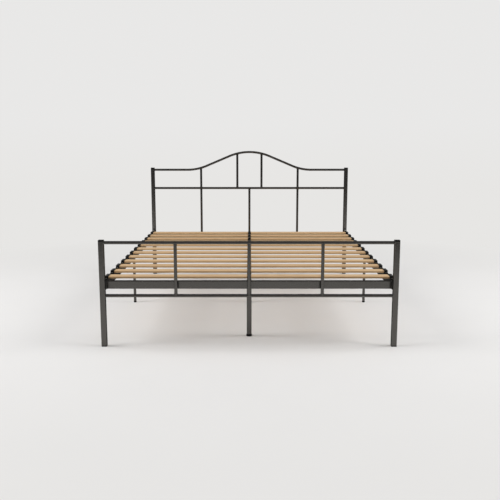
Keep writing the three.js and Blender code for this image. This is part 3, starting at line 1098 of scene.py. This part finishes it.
def resample(points, closed):
    """Points at an even pitch along a line through the given points."""
    if closed:
        points = points + points[:1]
    lengths = [(b - a).length for a, b in zip(points, points[1:])]
    count = max(BEAD_FEWEST_POINTS, round(sum(lengths) / BEAD_PITCH))
    made = []
    index = 0
    passed = 0.0
    for i in range(count if closed else count + 1):
        wanted = sum(lengths) * i / count
        while index < len(lengths) - 1 and passed + lengths[index] < wanted:
            passed += lengths[index]
            index += 1
        share = (wanted - passed) / lengths[index]
        made.append(points[index].lerp(points[index + 1], min(share, 1)))
    return made


def add_bead(mesh, points, closed=True):
    """A weld bead along a line: a thin, slightly uneven round ridge."""
    path = resample(points, closed)
    count = len(path)
    rings = []
    side = None
    for i, point in enumerate(path):
        after = path[(i + 1) % count] if closed else path[min(i + 1, count - 1)]
        before = path[i - 1] if closed else path[max(i - 1, 0)]
        along = (after - before).normalized()
        if side is None:
            side = along.orthogonal()
        side = (side - side.dot(along) * along).normalized()
        up = along.cross(side)
        lumps = BEAD_UNEVENNESS * noise.noise(point * BEAD_NOISE_SCALE)
        ripples = BEAD_RIPPLE * math.sin(i * BEAD_RIPPLE_STEP)
        radius = BEAD_RADIUS * (1 + lumps + ripples)
        rings.append([point + u * side + v * up for u, v in circle(radius, BEAD_SIDES)])
    add_loft(mesh, rings, closed)


def add_post_beads(mesh, node):
    """Beads where the two ends of a rail meet the posts."""
    low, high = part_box(node)
    for x in (low.x - GAP + BEAD_LIFT, high.x + GAP - BEAD_LIFT):
        centre = Vector((x, centre_of(node).y, arch_base if "arched" in node else centre_of(node).z))
        add_bead(mesh, ring(circle(tube_radius + BEAD_LIFT), centre, "x"))


def add_saddle_beads(mesh, node, lower_line, upper_line):
    """Beads round the two coped ends of a spindle."""
    middle = centre_of(node)
    for line, side in ((lower_line, 1), (upper_line, -1)):
        height = saddle(line, side, BEAD_LIFT)
        points = []
        for u, v in circle(tube_radius + BEAD_LIFT):
            points.append(Vector((middle.x + u, middle.y + v, height(middle.x + u, v))))
        add_bead(mesh, points)


def make_board_beads(board, rails):
    mesh = bmesh.new()
    for node in rails:
        add_post_beads(mesh, node)
    for node, lines in SPINDLES.items():
        if node.startswith(board):
            add_saddle_beads(mesh, node, *lines)
    finish_piece(make_solid(f"{board}_weld_beads", mesh), paint)


def make_base_beads():
    mesh = bmesh.new()
    corner = RAIL_CORNER + BEAD_LIFT
    wide = rail_width + 2 * BEAD_LIFT
    tall = rail_height + 2 * BEAD_LIFT
    outline = rounded_rect(wide, tall, corner)
    half = len(outline) // 2
    # The face of an end rail that looks away from the bed has no bead.
    for node, places in (("end_rail_foot", outline[half:] + outline[:half]),
                         ("end_rail_head", outline)):
        for sign in (-1, 1):
            centre = Vector((sign * (rail_inner - BEAD_LIFT), centre_of(node).y, rail_z))
            add_bead(mesh, ring(places, centre, "x"), closed=False)
    for sign in (-1, 1):
        centre = Vector((0, sign * (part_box("centre_beam")[1].y + GAP - BEAD_LIFT), rail_z))
        add_bead(mesh, ring(rounded_rect(tall, wide, corner), centre, "y"))
    for side, sign in SIDES.items():
        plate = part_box(f"side_rail_{side}")[1].y - FLANGE_THICKNESS
        for end in (-1, 1):
            centre = Vector((sign * (rail_inner + rail_width / 2), end * (plate - BEAD_LIFT), rail_z))
            add_bead(mesh, ring(rounded_rect(tall, wide, corner), centre, "y"))
        leg = f"side_leg_{side}"
        top = Vector((centre_of(leg).x, 0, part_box(leg)[1].z + GAP - BEAD_LIFT))
        add_bead(mesh, ring(circle(size_of(leg).x / 2 + BEAD_LIFT), top, "z"))
    for place_name in CENTRE_LEGS:
        leg = f"centre_leg_{place_name}"
        radius = size_of(leg).x / 2
        top = Vector((0, centre_of(leg).y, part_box(leg)[1].z + GAP - BEAD_LIFT))
        # Each side of the leg has a bead where its edge is under the flat of the beam.
        reach = math.acos((rail_width / 2 - RAIL_CORNER / 2) / radius)
        for sign in (-1, 1):
            arc = []
            for i in range(LEG_BEAD_STEPS + 1):
                angle = reach + (math.pi - 2 * reach) * i / LEG_BEAD_STEPS
                offset = Vector((math.cos(angle), sign * math.sin(angle), 0))
                arc.append(top + (radius + BEAD_LIFT) * offset)
            add_bead(mesh, arc, closed=False)
    finish_piece(make_solid("base_weld_beads", mesh), paint)


make_board_beads("footboard", ("footboard_top_rail", "footboard_lower_rail"))
make_board_beads("headboard", ("headboard_arched_rail", "headboard_middle_rail",
                               "headboard_lower_rail"))
make_base_beads()


# ---- Studio: a round pale sweep, lights and camera ----


def make_sweep_material():
    """Pale and lit by the lamps near the bed, and lit by itself further out, so that the wall has
    an even tone from every side."""
    material = new_material("studio_sweep")
    shader = shader_of(material)
    position = place(material)
    distance = add_node(material, "ShaderNodeVectorMath", operation="LENGTH")
    connect(material, position, distance.inputs[0])
    far = remap(material, distance.outputs["Value"], 0, 1, *SWEEP_FADE)
    mottle = add_noise(material, position, scale=SWEEP_MOTTLE)
    colour = mix_colours(material, remap(material, mottle, 0, 1), FLOOR_DARK, FLOOR_LIGHT)
    connect(material, colour, shader.inputs["Base Color"])
    shader.inputs["Roughness"].default_value = SWEEP_ROUGHNESS
    glow = add_node(material, "ShaderNodeEmission")
    height = component(material, position, "Z")
    height = remap(material, height, 0, 1, from_low=0.0, from_high=GLOW_RISE)
    connect(material, mix_colours(material, height, FLOOR_GLOW, WALL_GLOW), glow.inputs["Color"])
    mix = add_node(material, "ShaderNodeMixShader")
    connect(material, far, mix.inputs["Fac"])
    connect(material, shader.outputs["BSDF"], mix.inputs[1])
    connect(material, glow.outputs["Emission"], mix.inputs[2])
    output = material.node_tree.nodes["Material Output"]
    connect(material, mix.outputs["Shader"], output.inputs["Surface"])
    return material


def make_sweep(name, profile, material):
    """A round surface from (radius, height) pairs, open in the middle."""
    mesh = bmesh.new()
    loops = []
    for radius, height in profile:
        points = ring(circle(radius, SWEEP_SIDES), Vector((0, 0, height)), "z")
        loops.append([mesh.verts.new(point) for point in points])
    for first, second in zip(loops, loops[1:]):
        join_loops(mesh, first, second)
    sweep = make_object(name, mesh)
    sweep.data.shade_smooth()
    sweep.data.materials.append(material)
    return sweep


def make_stage():
    """A floor disc inside a wall that bends up all round. The wall shows pale in every view, but
    the paint mirrors the dimmer studio of the world shader instead of it."""
    material = make_sweep_material()
    floor = [(FLOOR_PINHOLE, 0), (FLOOR_RING, 0), (FLOOR_RADIUS, 0)]
    make_sweep("studio_floor", floor, material)
    profile = [(FLOOR_RADIUS, 0), (WALL_RADIUS - WALL_BEND, 0)]
    for i in range(1, WALL_STEPS + 1):
        angle = math.pi / 2 * i / WALL_STEPS
        radius = WALL_RADIUS - WALL_BEND * (1 - math.sin(angle))
        profile.append((radius, WALL_BEND * (1 - math.cos(angle))))
    profile.append((WALL_RADIUS, WALL_HEIGHT))
    wall = make_sweep("studio_wall", profile, material)
    wall.visible_glossy = False


def make_world():
    """A studio that is dark low down in front of the bed, and an even grey elsewhere."""
    world = bpy.data.worlds.new("studio")
    world.use_nodes = True
    direction = add_node(world, "ShaderNodeTexCoord").outputs["Generated"]
    behind = remap(world, component(world, direction, "Y"), 0, 1, *WORLD_SIDE_FADE)
    low = mix_colours(world, behind, WORLD_FRONT, WORLD_BACK)
    above = remap(world, component(world, direction, "Z"), 0, 1, *WORLD_TOP_FADE)
    colour = mix_colours(world, above, low, WORLD_TOP)
    connect(world, colour, world.node_tree.nodes["Background"].inputs["Color"])
    bpy.context.scene.world = world


def make_lamp(name, place_at):
    """A large round lamp that lights the bed but isn't mirrored in the paint."""
    lamp = bpy.data.lights.new(name, "AREA")
    lamp.shape = "DISK"
    lamp.size = LAMP_SIZE
    lamp.energy = LAMP_POWER
    holder = add_object(name, lamp)
    holder.location = place_at
    holder.rotation_mode = "QUATERNION"
    holder.rotation_quaternion = (Vector(LAMP_AIM) - Vector(place_at)).to_track_quat("-Z", "Y")
    holder.visible_glossy = False


def make_camera():
    data = bpy.data.cameras.new("camera")
    data.lens = CAMERA_LENS
    data.sensor_width = CAMERA_SENSOR
    data.clip_end = CAMERA_REACH
    camera = add_object("camera", data)
    foot_plane = centre_of("footboard_top_rail").y
    camera.location = (CAMERA_SIDE, foot_plane - CAMERA_BACK, CAMERA_HEIGHT)
    camera.rotation_euler = (math.pi / 2 - CAMERA_PITCH, 0, 0)
    bpy.context.scene.camera = camera


make_stage()
make_world()
for name, place_at in LAMPS.items():
    make_lamp(name, place_at)
make_camera()
bpy.context.scene.view_settings.view_transform = "Standard"
